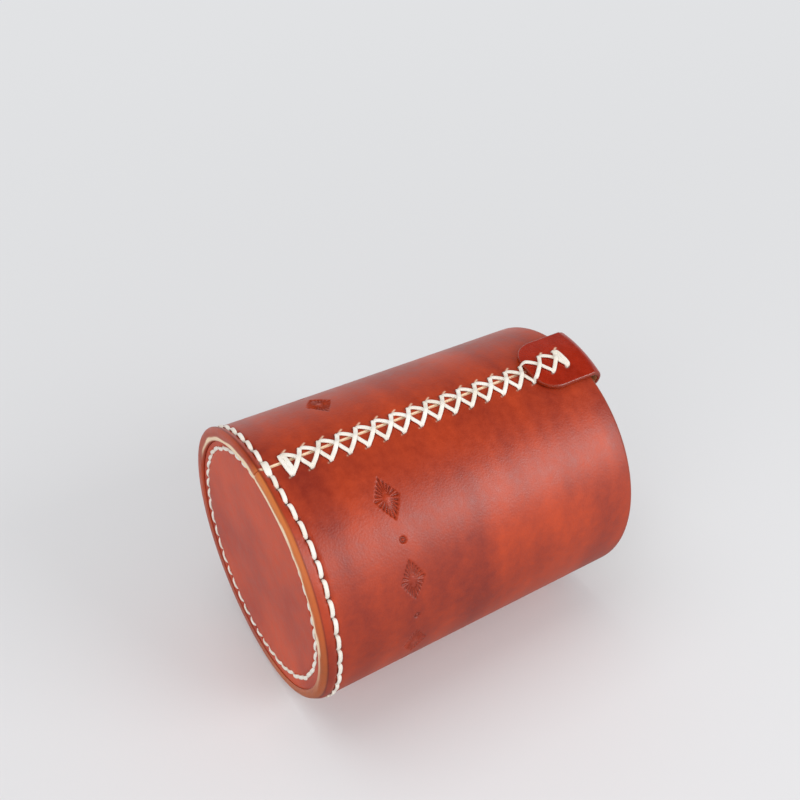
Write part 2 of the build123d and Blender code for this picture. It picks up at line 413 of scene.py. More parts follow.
def tooling_leather(name, shift, brushing, polish, dyes):
    """Vegetable-tanned leather: clouded red-brown dye, pebbled grain and a satin wax sheen."""
    material, tree = new_material(name)
    hide = node(tree, "ShaderNodeUVMap", uv_map="hide")
    hide = node(tree, "ShaderNodeMapping", {"Vector": hide, "Location": shift})
    dress_and_shade = node(tree, "ShaderNodeAttribute", attribute_name="dress_and_shade")
    raw, rubbed, flesh = node(tree, "ShaderNodeSeparateColor", {"Color": dress_and_shade.outputs["Color"]}).outputs
    dark = dress_and_shade.outputs["Alpha"]

    # Clouds of dye, wiped bands and small mottles
    clouds = {"Vector": hide, "Scale": 1 / cloud_size, "Detail": 3.0, "Roughness": 0.55}
    clouds = node(tree, "ShaderNodeTexNoise", clouds)
    wiped = node(tree, "ShaderNodeMapping", {"Vector": hide, "Scale": (1 / band_length, 1 / band_width, 1.0)})
    bands = node(tree, "ShaderNodeTexNoise", {"Vector": wiped, "Scale": 1.0, "Detail": 2.0})
    mottles = {"Vector": hide, "Scale": 1 / mottle_size, "Detail": 4.0, "Roughness": 0.65}
    mottles = node(tree, "ShaderNodeTexNoise", mottles)
    dye = node(tree, "ShaderNodeMix", {"Factor": brushing, "A": clouds, "B": bands}, data_type="FLOAT")
    dye = node(tree, "ShaderNodeMath", {0: mottles, 1: 0.3, 2: dye}, operation="MULTIPLY_ADD")
    tone = node(tree, "ShaderNodeMapRange", {"Value": dye, "From Min": 0.48, "From Max": 0.83})
    deep, bright = [linear(colour) for colour in dyes]
    colour = node(tree, "ShaderNodeMix", {"Factor": tone, "A": deep, "B": bright}, data_type="RGBA")

    # Tan where rubbed, pale fibres on the flesh side and cut edges, near black for painted shade and dark
    # lines
    fibres = {"Vector": hide, "Scale": 1 / fibre_size, "Detail": 4.0, "Roughness": 0.7}
    fibres = node(tree, "ShaderNodeTexNoise", fibres)
    cream = {"Factor": fibres, "A": linear("#F3CFA0"), "B": linear("#FFF0DC")}
    cream = node(tree, "ShaderNodeMix", cream, data_type="RGBA")
    suede = {"Factor": fibres, "A": linear("#A87B50"), "B": linear("#D9B285")}
    suede = node(tree, "ShaderNodeMix", suede, data_type="RGBA")
    finishes_and_shade = ((rubbed, linear("#CF7637")), (flesh, suede), (raw, cream), (dark, linear("#3A0E06")))
    for amount, overlay in finishes_and_shade:
        colour = node(tree, "ShaderNodeMix", {"Factor": amount, "A": colour, "B": overlay}, data_type="RGBA")

    # Waxed grain is satin, cut fibres are dull
    fuzzy = node(tree, "ShaderNodeMath", {0: raw, 1: flesh}, operation="MAXIMUM")
    satin = {"Value": mottles, "From Min": 0.3, "From Max": 0.7, "To Min": polish, "To Max": polish + 0.1}
    satin = node(tree, "ShaderNodeMapRange", satin)
    gloss = node(tree, "ShaderNodeMix", {"Factor": fuzzy, "A": satin, "B": 0.92}, data_type="FLOAT")

    # Pebbles of grain, softened by the wax, and a finer fuzz where fibres show
    pebbles = {"Vector": hide, "Scale": 1 / pebble_size, "Smoothness": 0.6}
    pebbles = node(tree, "ShaderNodeTexVoronoi", pebbles, feature="SMOOTH_F1").outputs["Distance"]
    height = node(tree, "ShaderNodeMix", {"Factor": fuzzy, "A": pebbles, "B": fibres}, data_type="FLOAT")
    relief = node(tree, "ShaderNodeBump", {"Height": height, "Strength": 0.4, "Distance": grain_depth * MM})
    surface = {"Base Color": colour, "Roughness": gloss, "Normal": relief, "IOR": 1.5}
    shader = node(tree, "ShaderNodeBsdfPrincipled", surface)
    node(tree, "ShaderNodeOutputMaterial", {"Surface": shader})
    return material


wall_finish = tooling_leather(
    "vegetable_tanned_leather_wall",
    shift=(882, 581, 0),
    brushing=0.5,
    polish=0.37,
    dyes=("#882511", "#BF3F10"),
)
disc_finish = tooling_leather(
    "vegetable_tanned_leather_disc",
    shift=(472, 278, 0),
    brushing=0.1,
    polish=0.4,
    # These dyes are lighter than the wall's: partly the round's own tone, partly painted light
    dyes=("#AA3319", "#D44A19"),
)
tab_finish = tooling_leather(
    "vegetable_tanned_leather_tab",
    shift=(90, 520, 0),
    brushing=0.3,
    polish=0.22,
    dyes=("#7A1706", "#AE2706"),
)
print("leathers:", wall_finish.name, disc_finish.name, tab_finish.name)

# %% [markdown]
# ## A sheet of hide
#
# The leather pieces are modelled as a maker has them: flat on the bench, marked and pressed, then bent to
# shape. A flat sheet needs a fine mesh only where tools touched it, so it is ruled in blocks of different
# fineness. A subdivision modifier would refine everything alike, and a displacement map cannot cut a slit.
# Where a coarse block meets a fine one, the coarse cells take the fine corners into their outline, so that
# no gap opens.

# %% Ruled sheet
def ruled(start, end, spacing):
    """Even places from start to end, no further apart than the spacing."""
    count = max(1, ceil((end - start) / spacing - 1e-6))
    return np.linspace(start, end, count + 1).round(4).tolist()


def ruled_round(radius):
    """Places across a rounded edge, from its end to the flat face."""
    return [round(radius * (1 - sin(radians(turn))), 4) for turn in (90, 67.5, 45, 22.5, 0)]


def lattice(blocks):
    """Corners and faces of a sheet of blocks of columns and rows, and the corners on each upright line."""
    index = {}
    for columns, rows in blocks:
        for column in columns:
            for row in rows:
                index.setdefault((column, row), len(index))
    uprights, levels = {}, {}
    for column, row in sorted(index):
        uprights.setdefault(column, []).append(row)
    for row, column in sorted((row, column) for column, row in index):
        levels.setdefault(row, []).append(column)

    def between(line, low, high):
        return line[bisect_left(line, low) : bisect_right(line, high)]

    faces = []
    for columns, rows in blocks:
        for left, right_edge in zip(columns, columns[1:]):
            for low, high in zip(rows, rows[1:]):
                outline = [(place, low) for place in between(levels[low], left, right_edge)][:-1]
                outline += [(right_edge, place) for place in between(uprights[right_edge], low, high)][:-1]
                outline += [(place, high) for place in between(levels[high], left, right_edge)][:0:-1]
                outline += [(left, place) for place in between(uprights[left], low, high)][:0:-1]
                faces.append([index[corner] for corner in outline])
    lines = {column: [index[column, row] for row in rows] for column, rows in uprights.items()}
    return np.array(list(index)), faces, lines


print("a millimetre in even parts:", ruled(0, 1, 0.3))

# %% Closed piece of leather
weld = 0.003  # mm within which corners are one


def leather_piece(name, points, faces, flat, dress_and_shade, material):
    """A closed, smooth piece of leather from its points, faces, flat places in mm and amounts of dressing and
    painted shade.
    """
    mesh = bpy.data.meshes.new(name)
    mesh.from_pydata(points.tolist(), [], faces)
    corners = np.empty(len(mesh.loops), dtype=np.int32)
    mesh.loops.foreach_get("vertex_index", corners)
    mesh.uv_layers.new(name="hide").data.foreach_set("uv", flat[corners].ravel())
    amounts = mesh.attributes.new("dress_and_shade", "FLOAT_COLOR", "POINT")
    amounts.data.foreach_set("color", np.clip(dress_and_shade, 0, 1).ravel())
    shell = bmesh.new()
    shell.from_mesh(mesh)
    bmesh.ops.remove_doubles(shell, verts=shell.verts, dist=weld * MM)
    bmesh.ops.recalc_face_normals(shell, faces=shell.faces)
    open_edges = sum(not edge.is_manifold for edge in shell.edges)
    shell.to_mesh(mesh)
    shell.free()
    mesh.shade_smooth()
    mesh.materials.append(material)
    piece = bpy.data.objects.new(name, mesh)
    scene.collection.objects.link(piece)
    triangles = sum(len(face.vertices) - 2 for face in mesh.polygons)
    print(f"{name}: {triangles} triangles, {open_edges} open edges")
    return piece


print(f"corners within {weld} mm are joined")

# %% Sections and rounded edges
def corner_arc(depth, height, radius, start, end, steps=6):
    """A rounded corner of a section: rows of depth, height and the direction into the leather."""
    turn = np.radians(np.linspace(start, end, steps + 1))
    away = np.stack([np.cos(turn), np.sin(turn)], axis=-1)
    return np.hstack([np.array([depth, height]) + radius * away, -away])


def lengths_along(section):
    """Length along a section at each of its rows."""
    return np.concatenate([[0], np.cumsum(np.hypot(*np.diff(section[:, :2], axis=0).T))])


def trace(section, run, places):
    """Depth, height and inward direction of a section at places along it."""
    return np.stack([np.interp(places, run, section[:, part]) for part in range(4)], axis=-1)


def rounded_fall(distance, radius):
    """How far a rounded edge falls below the flat face, at distances from its end."""
    return radius - np.sqrt(np.maximum(0, radius**2 - np.maximum(0, radius - distance) ** 2))


print("fall of a 1 mm round, half way in:", round(float(rounded_fall(0.5, 1)), 3))

# %% [markdown]
# ## Tool marks
#
# An awl cuts every slit with the same slant, on both sides of the seam: a pit where the thread goes in,
# painted near black as shade, and a short pale cut beyond it. A fluted stamp presses a row of diamonds round
# the cup, with a small ring between neighbours, and some of them were struck less hard than the rest. Each
# mark is a smooth depth over the flat sheet, in millimetres, and the stamps' hollows are painted darker,
# partly as pressed leather and partly as shade. Boolean cuts would leave sharp, clean edges, but pressed
# leather has none.

# %% Slits
awl_slant = radians(30)
pit_length, pit_width, cut_fade = 0.8, 0.5, 0.6
# How near black the bottom of a slit is painted: painted shade in the hole
pit_painted_shade = 0.95


def awl_slit(arc, height, reach_up, reach_down, half_width):
    """Pit and cut of a slanting slit, each from 0 to 1, at arc lengths and heights measured from its hole."""
    along = height * cos(awl_slant) - arc * sin(awl_slant)
    across = height * sin(awl_slant) + arc * cos(awl_slant)
    ends = ramp(along, reach_up, reach_up - cut_fade) * ramp(along, -reach_down, cut_fade - reach_down)
    return bell(along, pit_length) * bell(across, pit_width), ends * bell(across, half_width)


print(f"slits slant by {np.degrees(awl_slant):.0f} degrees")

# %% Diamonds and rings
diamond_width, diamond_height, flutes = 12.8, 7.8, 20
diamond_bulge = 1.1  # 1 has straight sides, and 2 is an oval
diamond_depth, flute_depth = 0.1, 0.7
ring_radius, ring_width, ring_depth = 0.65, 0.3, 0.6
# The stamps' hollows are painted darker: partly the tone of pressed leather, partly painted shade
stamp_level, stamp_tone_and_shade = 29.7, 0.37
first_diamond, diamond_turn, turn_growth = 27.9, 32.4, 0.17
diamond_angles = [first_diamond + diamond_turn * count + turn_growth * count**2 for count in range(10)]
ring_angles = [(start + end) / 2 for start, end in zip(diamond_angles, diamond_angles[1:])]
light_blows = {1: 0.75, 2: 0.4, 5: 0.6, 8: 0.5}  # stamps struck less hard than the rest


def diamond_stamp(arc, height):
    """Depth and painted shade of the fluted diamond, from its middle, with flutes that deepen outwards."""
    wide, tall = np.abs(arc) / (diamond_width / 2), height / (diamond_height / 2)
    border = (wide**diamond_bulge + np.abs(tall) ** diamond_bulge) ** (1 / diamond_bulge)
    inside = ramp(border, 1.03, 0.91)
    flute = 0.5 + 0.5 * np.cos(flutes * np.arctan2(tall, wide))
    flute = flute * inside * ramp(border, 0.06, 0.56)
    return diamond_depth * inside + flute_depth * flute, flute * (0.6 + 0.5 * border)


def ring_stamp(arc, height):
    """Depth and painted shade of the small ring."""
    ring = bell(np.hypot(arc, height) - ring_radius, ring_width)
    return ring_depth * ring, 1.4 * ring


print(f"{len(diamond_angles)} diamonds and {len(ring_angles)} rings at {stamp_level} mm")

# %% [markdown]
# ## Wall
#
# The wall is one sheet, rolled until its ends meet. Its section is a long strip with rounded edges: the lower
# edge is worked into a bead, with a lip under the disc, and the rim is burnished. The flat sheet has one
# coordinate along the roll and one round the section, which equals the height on the outside. That makes the
# marks easy to place, and rolling is then little more than a change from arc length to angle. A hand-made
# roll isn't quite round, and its foot splays, and is thinner to the right of the seam, so the roll adds that.

# %% Section of the wall
foot_outer, foot_inner, rim_outer, rim_inner = 1.7, 1.2, 1.2, 1.0
lip_reach = 0.9
lip_depth, lip_top = wall_thickness + lip_reach, disc_under - seat_gap
inside_middle = [[wall_thickness, wall_height / 2, -1, 0]]
wall_parts = {
    "low inside": inside_middle,
    "lip": [[wall_thickness, lip_top, -1, 0], [lip_depth, lip_top, -1, 0]],
    "inner foot": corner_arc(lip_depth - foot_inner, foot_inner, foot_inner, 0, -90),
    "outer foot": corner_arc(foot_outer, foot_outer, foot_outer, -90, -180),
    "outer rim": corner_arc(rim_outer, wall_height - rim_outer, rim_outer, 180, 90),
    "inner rim": corner_arc(wall_thickness - rim_inner, wall_height - rim_inner, rim_inner, 90, 0),
    "high inside": inside_middle,
}
wall_section = np.vstack(list(wall_parts.values()))
part_ends = np.cumsum([len(part) for part in wall_parts.values()])
outer_foot_end = part_ends[list(wall_parts).index("outer foot")] - 1
wall_run = lengths_along(wall_section)
wall_run = (wall_run - wall_run[outer_foot_end] + foot_outer).round(4)
part_runs = dict(zip(wall_parts, np.split(wall_run, part_ends[:-1])))
face_low, face_high = part_runs["outer foot"][-1], part_runs["outer rim"][0]
section_length = wall_run[-1] - wall_run[0]
print(f"outer face from {face_low:.1f} to {face_high:.1f} mm, {section_length:.1f} mm round the section")

# %% Rows and columns of the wall
seam_round = 0.5
slit_step, seam_step, near_step, foot_step, inside_step = 0.2, 0.5, 0.6, 0.35, 5.0


def sheet_place(arc):
    """Place along the flat sheet of an arc length from the seam."""
    return round(arc - seam_gap / 2 if arc > 0 else rolled_length + arc + seam_gap / 2, 4)


last_column = round(rolled_length, 4)
row_one, row_two = lacing_slit(0, 1)[0], lacing_slit(0, -1)[0]
# Between these places lie the two finely ruled strips that hold the rows of slits
cuts = [sheet_place(arc) for arc in (row_one - 1.8, row_one + 2.2, row_two - 3.0, row_two + 1.3)]
end_columns = ruled_round(seam_round)
disc_meets, lip_edge = part_runs["lip"]
inside_low = ruled(wall_run[0], disc_meets, inside_step)
inside_high = ruled(part_runs["inner rim"][-1], wall_run[-1], inside_step)
foot_rows = [disc_meets, lip_edge, *part_runs["inner foot"], *part_runs["outer foot"]]
foot_rows += ruled(part_runs["inner foot"][-1], part_runs["outer foot"][0], foot_step)
foot_rows = sorted(set(foot_rows))
rim_rows = [*part_runs["outer rim"], *part_runs["inner rim"]]
slit_rows, near_rows = ruled(face_low, face_high, slit_step), ruled(face_low, face_high, near_step)
print(f"{len(foot_rows)} rows in the foot, {len(slit_rows)} beside the slits")

# %% Blocks of the wall
stitch_step, stitch_rise, stamp_step = 0.45, 0.27, 0.26
plain_step, plain_rise, inside_turn = 1.85, 2.0, 3.0
stitch_band, stamp_band, diamond_room, ring_room = 9.0, 4.6, 0.7, 1.6
stamp_low, stamp_high = stamp_level - stamp_band, stamp_level + stamp_band
strips = [
    (end_columns, near_rows),
    (ruled(seam_round, cuts[0], seam_step), near_rows),
    (ruled(cuts[0], cuts[1], slit_step), slit_rows),
    (ruled(cuts[2], cuts[3], slit_step), slit_rows),
    (ruled(cuts[3], round(last_column - seam_round, 4), seam_step), near_rows),
    ([round(last_column - column, 4) for column in reversed(end_columns)], near_rows),
]
edge_rows = [inside_low, foot_rows, rim_rows, inside_high]
wall_blocks = [(columns, rows) for columns, face_rows in strips for rows in (*edge_rows, face_rows)]
for rows, spacing in (
    (inside_low, inside_turn),
    (foot_rows, stitch_step),
    (ruled(face_low, stitch_band, stitch_rise), stitch_step),
    (ruled(stitch_band, stamp_low, plain_rise), plain_step),
    (ruled(stamp_high, face_high, plain_rise), plain_step),
    (rim_rows, plain_step),
    (inside_high, inside_turn),
):
    wall_blocks.append((ruled(cuts[1], cuts[2], spacing), rows))

stamp_halves = [(angle, diamond_width / 2 + diamond_room) for angle in diamond_angles]
stamp_halves += [(angle, ring_room) for angle in ring_angles]
plain_rows, stamp_rows = (ruled(stamp_low, stamp_high, step) for step in (plain_step, stamp_step))
done = cuts[1]
for angle, half in sorted(stamp_halves):
    middle = radians(angle) * outer_radius - seam_gap / 2
    stamp_start, stamp_end = round(middle - half, 4), round(middle + half, 4)
    wall_blocks.append((ruled(done, stamp_start, plain_step), plain_rows))
    wall_blocks.append((ruled(stamp_start, stamp_end, stamp_step), stamp_rows))
    done = stamp_end
wall_blocks.append((ruled(done, cuts[2], plain_step), plain_rows))
wall_flat, wall_faces, wall_lines = lattice(wall_blocks)
wall_faces += [wall_lines[0.0][:-1], wall_lines[last_column][:-1]]
print(f"{len(wall_blocks)} blocks, {len(wall_flat)} corners")

# %% Marks on the wall
place, level = wall_flat.T
arc = place + seam_gap / 2
arc = np.where(place < rolled_length / 2, arc, arc - 2 * pi * outer_radius)
around = np.degrees(arc / outer_radius) % 360
outside = (level >= face_low) & (level <= face_high)
press = np.zeros(len(place))
raw, rubbed, dark = np.zeros((3, len(place)))
pit_depth, groove_depth, groove_width = 0.9, 0.3, 0.9

lacing_cuts = ((-1, 3.0, 0.3, 0.9), (1, 0.3, 1.9, 0.5))  # side, reach up and down, and how bare the cut is
lacing_cut_width, lacing_cut_depth = 0.2, 0.25
# Lacing slits: painted shade in the pits, bare leather in the cuts
for side, reach_up, reach_down, bare in lacing_cuts:
    for row in range(lacing_rows):
        slit_arc, slit_height = lacing_slit(row, side)
        pit, cut = awl_slit(arc - slit_arc, level - slit_height, reach_up, reach_down, lacing_cut_width)
        press += outside * (pit_depth * pit + lacing_cut_depth * cut)
        raw = np.maximum(raw, outside * bare * cut * (1 - pit))
        dark = np.maximum(dark, outside * pit_painted_shade * pit)

# Base slits: painted shade in the pits and, fainter, along the cuts
base_reach, base_cut_width, base_cut_depth, base_cut_painted_shade = 1.1, 0.25, 0.15, 0.35
for angle, slit_height in zip(slit_angles, slit_heights):
    slit_arc = radians(1) * from_seam(around - angle) * outer_radius
    pit, cut = awl_slit(slit_arc, level - slit_height, base_reach, base_reach, base_cut_width)
    press += outside * (pit_depth * pit + base_cut_depth * cut)
    dark = np.maximum(dark, outside * (pit_painted_shade * pit + base_cut_painted_shade * cut))
ring_heights = np.interp(around, slit_angles, slit_heights, period=360)
press += outside * groove_depth * bell(level - ring_heights, groove_width)

# Stamps: pressed depth, and hollows painted darker as pressed leather and as shade
for angles, stamp in ((diamond_angles, diamond_stamp), (ring_angles, ring_stamp)):
    for number, angle in enumerate(angles):
        blow = light_blows.get(number, 1.0)
        depth, shade = stamp(radians(1) * (around - angle) * outer_radius, level - stamp_level)
        press += outside * blow * depth
        dark = np.maximum(dark, outside * stamp_tone_and_shade * blow * shade)
print(f"deepest mark {press.max():.2f} mm")

# %% [markdown]
# ## Edges of the wall
#
# Dye was brushed over the outside, and the edges show what it missed. The ends that meet at the seam are
# bare. The foot has a dark line, then a bead that wear has turned orange to the right of the seam, and then
# a cream crest. The rim is burnished brown, and the inside is the flesh side. A painted mask could hold all
# this, but ramps along the section and round the cup say where each band starts and ends: in millimetres
# down from the outer face, and in degrees to the right of the seam.

# %% Seam and foot
end = np.minimum(place, rolled_length - place)
bare_edge = ramp(end, 0.85 * seam_round, 0.55 * seam_round) * ramp(level, 1.5, 2.0)
raw = np.maximum(raw, bare_edge * (1 - 0.55 * ramp(level, 82, 90)))

down = face_low - level
turned = from_seam(around)
undyed = ramp(turned, -80, -60) * ramp(turned, 112, 62)
worn = ramp(turned, -6, 4) * (1 - 0.55 * ramp(turned, 15, 65)) * ramp(turned, 190, 150)
uneven = 0.2 * np.sin(np.radians(9 * turned)) + 0.15 * np.sin(np.radians(23 * turned + 50))
bead_start, bead_end = 0.35 - 0.25 * ramp(turned, 12, 37), 6.0
crest_start = 2.7 + 1.4 * ramp(turned, -5, -65) - 0.55 * ramp(turned, 5, 25) + uneven
crest_end = 5.3 + 0.9 * ramp(turned, -50, -10)
bead = ramp(down, bead_start, bead_start + 0.3) * ramp(down, bead_end, bead_end - 0.4)
crest = ramp(down, crest_start, crest_start + 0.35) * ramp(down, crest_end, crest_end - 0.4)
rubbed = np.maximum(rubbed, bead * (0.08 + 0.85 * worn))
raw = np.maximum(raw, crest * undyed)
dark = np.maximum(dark, 0.6 * bell(down - bead_start, 0.24))
print(f"{np.count_nonzero(raw > 0.5)} bare corners")

# %% Rim and inside
up = level - face_high
rubbed = np.maximum(rubbed, 0.35 * ramp(up, 0.4, 0.9) * ramp(up, 4.6, 4.0))
dark = np.maximum(dark, 0.35 * bell(up - 0.5, 0.4))
flesh_start = part_runs["inner rim"][-2]
flesh = ramp(level, flesh_start, flesh_start + 0.3)
flesh = np.maximum(flesh, ramp(level, disc_meets, disc_meets - 0.5))
wall_dress_and_shade = np.stack([raw, rubbed, flesh, dark], axis=-1)
print(f"{np.count_nonzero(flesh > 0.5)} corners on the flesh side")

# %% Roll the wall
foot_thinning, foot_splay, roll_wobble = 1.3, 0.9, 0.08
depth, height, inward_depth, inward_height = trace(wall_section, wall_run, level).T
under_disc = (level >= disc_meets) & (level <= part_runs["inner foot"][-1])
height = height - under_disc * disc_tilt(around) * height / lip_top
sink = press + rounded_fall(end, seam_round)
wobble = roll_wobble * np.sin(np.radians(3 * around + 40)) * np.sin(pi * height / wall_height)
splay = foot_splay * np.cos(np.radians(around + 45)) * ramp(height, 3.4, 0.8) * (level > disc_meets)
thinned = foot_thinning * ramp(turned, 5, 40) * ramp(turned, 185, 135)
thinned = thinned * ramp(depth, foot_outer, foot_outer + 2.4) * ((level > disc_meets) & (level < face_low))
radius = outer_radius - depth - sink * inward_depth + wobble + splay + thinned
wall_points = at(radius, arc_angle(place + seam_gap / 2), height + sink * inward_height)
wall_leather = leather_piece("rolled_wall", wall_points, wall_faces, wall_flat, wall_dress_and_shade, wall_finish)

# %% [markdown]
# ## Base disc
#
# The base is a round of the same leather, set up into the tube. Seen from below it shows its dyed grain, with
# a ring of slits where the thread comes through, and inside the cup it shows its flesh side. Its margin is
# lower away from the seam, because it was set in by hand. It is ruled in angles and radii, finely only in the
# stitched ring, and closed by one many-sided face at each pole.

# %% Section and blocks of the disc
disc_bend, pole_radius, ring_reach = 0.2, 3.0, 5.0
disc_section = np.vstack(
    [
        [[pole_radius, disc_under, 0, 1]],
        corner_arc(disc_radius - disc_bend, disc_under + disc_bend, disc_bend, -90, 0),
        corner_arc(disc_radius - disc_bend, disc_top - disc_bend, disc_bend, 0, 90),
        [[pole_radius, disc_top, 0, -1]],
    ]
)
disc_run = lengths_along(disc_section).round(4)
# After the first row and before the last, each of the two rounded corners has seven rows
under_end, side_low, side_high, top_start = disc_run[[1, 7, 8, 14]]
ring_start = round(stitch_radius - ring_reach - pole_radius, 4)
coarse_turns, fine_turns = ruled(0, 360, 3.75), ruled(0, 360, 360 / (stitch_count * 12))
disc_blocks = [
    (coarse_turns, ruled(0, ring_start, 3.0)),
    (fine_turns, ruled(ring_start, under_end, 0.35)),
    (coarse_turns, disc_run[1:15].tolist()),
    (coarse_turns, ruled(top_start, disc_run[-1], 3.0)),
]
disc_flat, disc_faces, disc_lines = lattice(disc_blocks)
disc_faces += [[disc_lines[turn][row] for turn in coarse_turns[:-1]] for row in (0, -1)]
print(f"{len(disc_flat)} corners on the disc")

# %% Marks and margin of the disc
level_middle = 20.0  # mm from the axis within which the disc stays level
disc_reach, disc_cut_width, disc_pit_depth, disc_cut_depth = 1.0, 0.3, 0.5, 0.1
disc_pit_painted_shade, disc_cut_bare = 0.9, 0.3
turn, level = disc_flat.T
radius, height, inward_radius, inward_height = trace(disc_section, disc_run, level).T
underside = level < under_end
from_ring = radius - under_ring(turn)
press = underside * groove_depth * bell(from_ring, groove_width)
raw, dark = np.zeros((2, len(turn)))
# Slits under the disc: painted shade in the pits, a little bare leather in the cuts
for angle in slit_angles:
    slit_arc = radians(1) * from_seam(turn - angle) * radius
    pit, cut = awl_slit(slit_arc, from_ring, disc_reach, disc_reach, disc_cut_width)
    press += underside * (disc_pit_depth * pit + disc_cut_depth * cut)
    dark = np.maximum(dark, underside * disc_pit_painted_shade * pit)
    raw = np.maximum(raw, underside * disc_cut_bare * cut * (1 - pit))
flesh = ramp(level, side_high, side_high + 0.5)
height = height - (level <= side_low) * disc_tilt(turn) * ramp(radius, level_middle, stitch_radius)
disc_points = at(radius + press * inward_radius, turn, height + press * inward_height)
disc_flat = disc_points[:, :2] / MM
disc_dress_and_shade = np.stack([raw, 0 * raw, flesh, dark], axis=-1)
base_leather = leather_piece("base_round", disc_points, disc_faces, disc_flat, disc_dress_and_shade, disc_finish)

# %% [markdown]
# ## Rim tab
#
# A narrow strap is folded over the rim, so that it covers the end of the seam, and the last two rows of
# lacing go through both of its legs. It is a strip bent into a hairpin: the strip's length follows a path of
# two legs and a half circle, and its width wraps round the cup. Both ends are cut to a round tongue, the fold
# runs slightly askew, the sides stand off the wall a little, and the edges are rubbed smooth.

# %% Path of the folded strap
strap_edge, strap_corner, strap_skew = 0.5, 8.0, 0.65
fold_radius = (wall_thickness + 2 * seat_gap + tab_thickness) / 2
fold_middle = outer_radius - wall_thickness / 2
fold_height = tab_top - tab_thickness / 2 - fold_radius
leg = fold_height - tab_back
fold_end = leg + pi * fold_radius
strap_length = fold_end + leg
round_rows = ruled_round(strap_edge)
strap_rows = np.array(
    round_rows[:-1]
    + ruled(strap_edge, leg, 0.25)[:-1]
    + ruled(leg, fold_end, 0.4)[:-1]
    + ruled(fold_end, strap_length - strap_edge, 1.0)[:-1]
    + [strap_length - row for row in reversed(round_rows)]
)
to_end = np.minimum(strap_rows, strap_length - strap_rows)
turn = np.clip((strap_rows - leg) / fold_radius, 0, pi)
strap_radius = fold_middle + fold_radius * np.cos(turn)
strap_height = fold_height + fold_radius * np.sin(turn) - np.maximum(0, leg - to_end)
half_widths = tab_half_width - rounded_fall(to_end, strap_corner)
thinning = rounded_fall(to_end, strap_edge)
print(f"strap {strap_length:.1f} mm long, folded on a radius of {fold_radius:.2f} mm")

# %% Section of the strap
across_steps = 82
spread = np.linspace(-1, 1, across_steps + 1)
edge_turns = np.radians(np.linspace(90, -90, 7))[1:-1]
flat_side, round_side = np.ones(len(spread)), np.ones(len(edge_turns))
loop_width = np.concatenate([spread, np.cos(edge_turns), spread[::-1], -np.cos(edge_turns)])
loop_rise = np.concatenate([flat_side, np.sin(edge_turns), -flat_side, -np.sin(edge_turns)])
on_edge = np.concatenate([0 * flat_side, round_side, 0 * flat_side, round_side])
half = half_widths[:, None] - strap_edge - thinning[:, None]
width = loop_width * np.where(on_edge, strap_edge, half) + np.sign(loop_width) * on_edge * half
thick = (tab_thickness / 2 - thinning)[:, None] * loop_rise
row_grid = np.broadcast_to(strap_rows[:, None], width.shape)
skew = strap_skew * (1 - width / tab_half_width)
print(f"{width.size} corners on the strap")

# %% Marks on the strap
top_side = np.broadcast_to(loop_rise > 0.5, width.shape) & (row_grid < leg + fold_radius)
press = np.zeros(width.shape)
raw, dark = np.zeros((2, *width.shape))
tab_cuts = ((-1, 2.7, 0.3, 1.0), (1, 0.3, 1.5, 0.4))  # side, reach up and down, and how bare the cut is
tab_cut_width, tab_pit_depth, tab_cut_depth = 0.22, 0.7, 0.25
# Slits in the tab: painted shade in the pits, bare leather in the cuts
for side, reach_up, reach_down, bare in tab_cuts:
    for row in tab_rows:
        slit_arc, slit_height = lacing_slit(row, side)
        middle = tab_radius * np.sin(np.radians(arc_angle(slit_arc)))
        from_end = slit_height - tab_back - strap_skew * (1 - middle / tab_half_width)
        pit, cut = awl_slit(width - middle, row_grid - from_end, reach_up, reach_down, tab_cut_width)
        press += top_side * (tab_pit_depth * pit + tab_cut_depth * cut)
        dark = np.maximum(dark, top_side * pit_painted_shade * pit)
        raw = np.maximum(raw, top_side * bare * cut * (1 - pit))
# The edges are painted darker: partly their burnished brown, partly painted shade along them
end_share = ramp(np.broadcast_to(to_end[:, None], width.shape), strap_edge, 0)
edge_share = np.maximum(np.broadcast_to(on_edge, width.shape), end_share)
rubbed = 0.1 * edge_share
dark = np.maximum(dark, 0.28 * edge_share)
flesh = np.broadcast_to(loop_rise < -0.5, width.shape) * (1 - edge_share)
strap_dress_and_shade = np.stack([raw, rubbed, flesh, dark], axis=-1).reshape(-1, 4)
print(f"deepest mark {press.max():.2f} mm")

# %% Bend the strap
side_lift = 0.3
lift = side_lift * np.abs(width / tab_half_width) ** 4 * (row_grid < leg)
stand = thick - press + lift
radius = strap_radius[:, None] + stand * np.cos(turn)[:, None]
height = strap_height[:, None] + stand * np.sin(turn)[:, None] + skew
strap_points = at(radius, np.degrees(np.arcsin(width / radius)), height).reshape(-1, 3)
number = np.arange(width.size).reshape(width.shape)
after = np.roll(number, -1, axis=1)
strap_faces = np.stack([number[:-1], after[:-1], after[1:], number[1:]], axis=-1).reshape(-1, 4).tolist()
strap_faces += [number[0].tolist(), number[-1].tolist()]
strap_flat = np.stack([width, row_grid], axis=-1).reshape(-1, 2)
tab_leather = leather_piece("folded_tab", strap_points, strap_faces, strap_flat, strap_dress_and_shade, tab_finish)

# %% [markdown]
# ## Waxed thread
#
# The thread is a flat braid, drawn through wax: off-white, slightly glossy, with a faint line along its
# middle and a tight herringbone of yarns. A round tube would look like wire, so a Geometry Nodes tree sweeps
# a flat, grooved section along each route. A route is a row of points joined by edges. Each of its points
# also carries the direction across the thread, which keeps the flat side down on the leather, even where the
# thread turns sharply into a slit.

# %% Thread finish
yarn_size, soil_size, yarn_depth = 0.45, 6, 0.1  # mm: yarns a little coarser than real ones, to show


